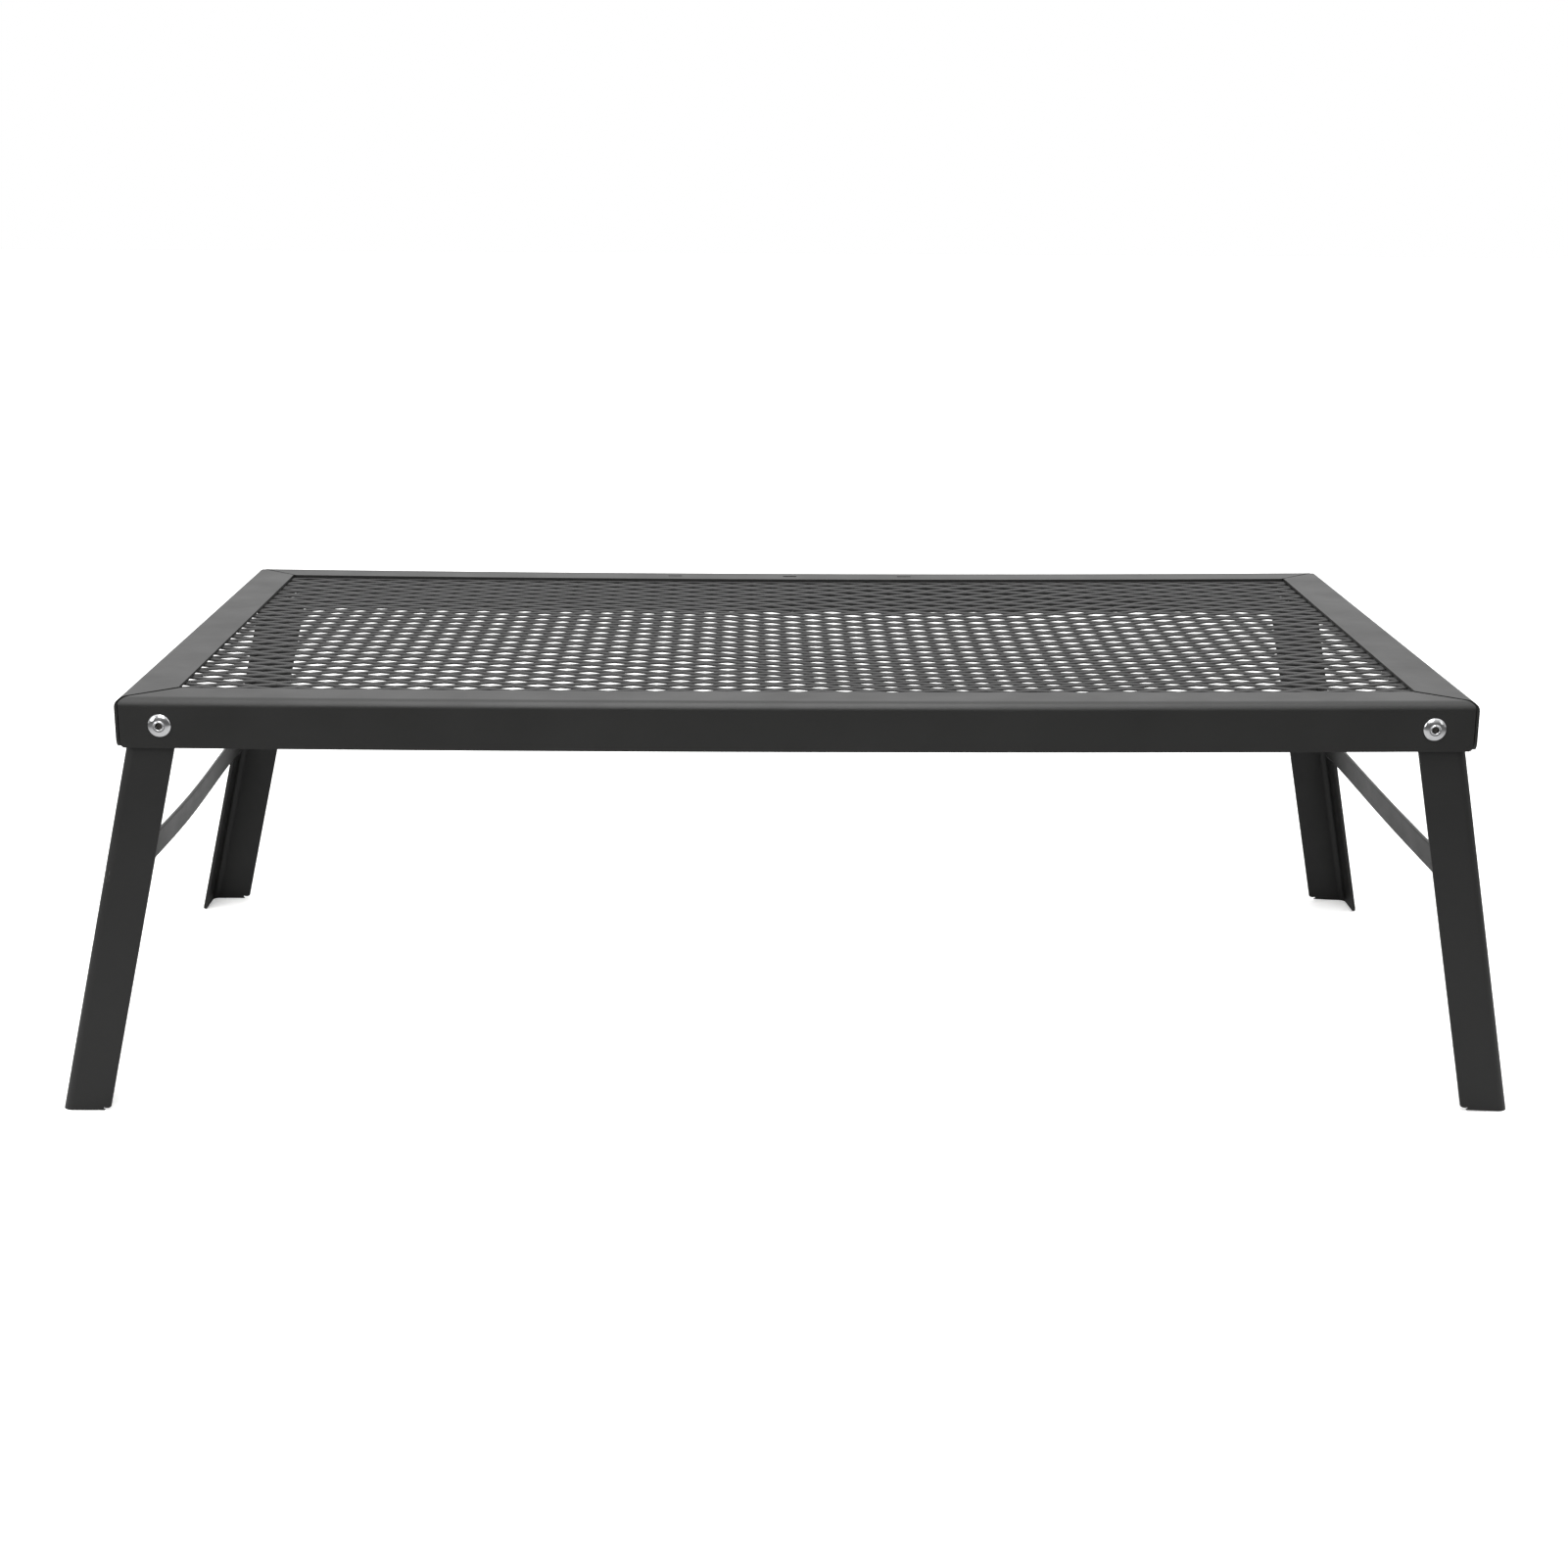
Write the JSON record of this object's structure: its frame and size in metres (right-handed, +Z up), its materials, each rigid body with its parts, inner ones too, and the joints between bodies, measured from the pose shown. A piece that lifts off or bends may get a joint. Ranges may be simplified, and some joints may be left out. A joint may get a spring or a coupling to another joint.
{
  "type": "folding side table",
  "caption": "Low folding camp table with a steel mesh top in a mitred angle frame, on splayed angle legs that fold flat under it about blind rivets.",
  "frame": {"origin": "on the floor, under the middle of the table top", "axes": "+X to the right end of the top, +Y to the rear, +Z up; the table stands on its opened legs"},
  "size_m": [0.622, 0.3032, 0.182],
  "materials": {
    "rail_powder_coat": "matte black powder coat on sheet steel",
    "mesh_powder_coat": "matte black powder coat on expanded steel",
    "weld_powder_coat": "matte black powder coat over weld beads",
    "leg_powder_coat": "matte black powder coat on sheet steel",
    "crossbar_powder_coat": "matte black powder coat on flat steel strip",
    "rivet_aluminium": "bright, bare",
    "stem_steel": "snapped steel stem, dull",
    "washer_steel": "zinc plated"
  },
  "bodies": {
    "frame": {"front_rail": "rail_powder_coat", "rear_rail": "rail_powder_coat", "left_rail": "rail_powder_coat", "right_rail": "rail_powder_coat", "mesh_panel": "mesh_powder_coat", "mesh_welds": "weld_powder_coat", "corner_welds": "weld_powder_coat", "front_left_rivet": "rivet_aluminium", "rear_left_rivet": "rivet_aluminium", "front_right_rivet": "rivet_aluminium", "rear_right_rivet": "rivet_aluminium", "front_left_stem": "stem_steel", "rear_left_stem": "stem_steel", "front_right_stem": "stem_steel", "rear_right_stem": "stem_steel", "front_left_pivot_washer": "washer_steel", "rear_left_pivot_washer": "washer_steel", "front_right_pivot_washer": "washer_steel", "rear_right_pivot_washer": "washer_steel", "front_left_backing_washer": "washer_steel", "rear_left_backing_washer": "washer_steel", "front_right_backing_washer": "washer_steel", "rear_right_backing_washer": "washer_steel"},
    "left_legs": {"front_left_leg": "leg_powder_coat", "rear_left_leg": "leg_powder_coat", "left_crossbar": "crossbar_powder_coat", "left_crossbar_welds": "weld_powder_coat"},
    "right_legs": {"front_right_leg": "leg_powder_coat", "rear_right_leg": "leg_powder_coat", "right_crossbar": "crossbar_powder_coat", "right_crossbar_welds": "weld_powder_coat"}
  },
  "joints": [
    {"name": "left_legs_fold", "type": "hinge", "parent": "frame", "child": "left_legs", "pos_m": [-0.2619, 0, 0.1704], "axis": [0, -1, 0], "range_deg": [0, 103]},
    {"name": "right_legs_fold", "type": "hinge", "parent": "frame", "child": "right_legs", "pos_m": [0.2619, 0, 0.1704], "axis": [0, 1, 0], "range_deg": [0, 100.8]}
  ]
}
